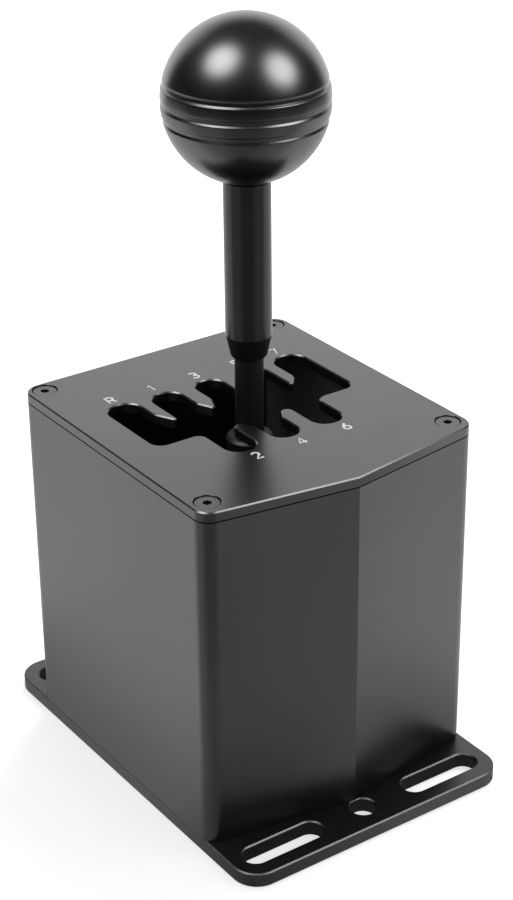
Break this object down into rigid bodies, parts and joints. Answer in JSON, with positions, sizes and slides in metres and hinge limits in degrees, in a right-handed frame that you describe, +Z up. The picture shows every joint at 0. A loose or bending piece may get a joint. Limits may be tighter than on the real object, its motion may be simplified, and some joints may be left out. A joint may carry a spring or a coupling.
{
  "type": "sim racing gear shifter",
  "caption": "Desk-mounted H-pattern gear shifter for driving games, with a ball knob, a gate plate, a box housing and a slotted base.",
  "frame": {"origin": "middle of the base plate's underside", "axes": "+Z up along the lever at rest; +X to the driver's right; +Y away from the driver"},
  "size_m": [0.1, 0.143, 0.244],
  "materials": {
    "body_black": "satin black anodised",
    "base_black": "smooth black anodised",
    "knob_black": "satin gloss black",
    "rod_black": "black oxide",
    "sleeve_black": "satin black",
    "collar_black": "matte",
    "screw_black": "black oxide",
    "screw_steel": "zinc plated",
    "bearing_steel": "ground steel",
    "shaft_steel": "ground steel",
    "spring_steel": "blued spring steel",
    "bracket_aluminium": "milled",
    "bush_bronze": "sintered bronze",
    "magnet_nickel": "nickel plated",
    "circuit_board": "green solder mask",
    "chip_black": "moulded black",
    "socket_white": "moulded natural",
    "usb_steel": "nickel plated"
  },
  "bodies": {
    "housing": {"base_plate": "base_black", "housing_shell": "body_black", "gate_plate": "body_black", "gate_plate_screws": "screw_black", "housing_screws": "screw_black", "bracket_screws": "screw_black", "front_bearing_bracket": "bracket_aluminium", "rear_bearing_bracket": "bracket_aluminium", "front_bearing_outer": "bearing_steel", "rear_bearing_outer": "bearing_steel", "select_sensor_board": "circuit_board", "select_sensor_screws": "screw_steel", "centring_springs": "spring_steel", "centring_screws": "screw_steel", "board_standoffs": "screw_steel", "main_board": "circuit_board", "main_board_screws": "screw_steel", "main_chip": "chip_black", "cable_sockets": "socket_white", "usb_socket": "usb_steel"},
    "select_yoke": {"yoke_ring": "bracket_aluminium", "front_stub_axle": "shaft_steel", "rear_stub_axle": "shaft_steel", "front_bearing_inner": "bearing_steel", "rear_bearing_inner": "bearing_steel", "axle_circlips": "spring_steel", "select_magnet": "magnet_nickel", "left_shaft_bush": "bush_bronze", "right_shaft_bush": "bush_bronze", "engage_sensor_bracket": "bracket_aluminium", "engage_bracket_screws": "screw_steel", "engage_sensor_board": "circuit_board", "engage_sensor_screws": "screw_steel", "detent_spring": "spring_steel", "detent_spring_screws": "screw_steel", "centring_pin": "shaft_steel"},
    "lever": {"lever_hub": "shaft_steel", "cross_shaft": "shaft_steel", "shaft_circlips": "spring_steel", "hub_set_screw": "screw_black", "engage_magnet": "magnet_nickel", "detent_sector": "shaft_steel", "sector_screws": "screw_steel", "lever_post": "rod_black", "lever_rod": "rod_black", "lever_collar": "collar_black", "grip_sleeve": "sleeve_black", "knob": "knob_black", "knob_insert": "bush_bronze"}
  },
  "joints": [
    {"name": "select", "type": "hinge", "parent": "housing", "child": "select_yoke", "pos_m": [0, -0.0018, 0.038], "axis": [0, 1, 0], "range_deg": [-11.3, 11.3], "stiffness_Nm_per_rad": 2.5, "deforming": ["centring_springs"]},
    {"name": "engage", "type": "hinge", "parent": "select_yoke", "child": "lever", "pos_m": [0, -0.0018, 0.038], "axis": [-1, 0, 0], "range_deg": [-11.9, 14.4], "deforming": ["detent_spring"]}
  ]
}
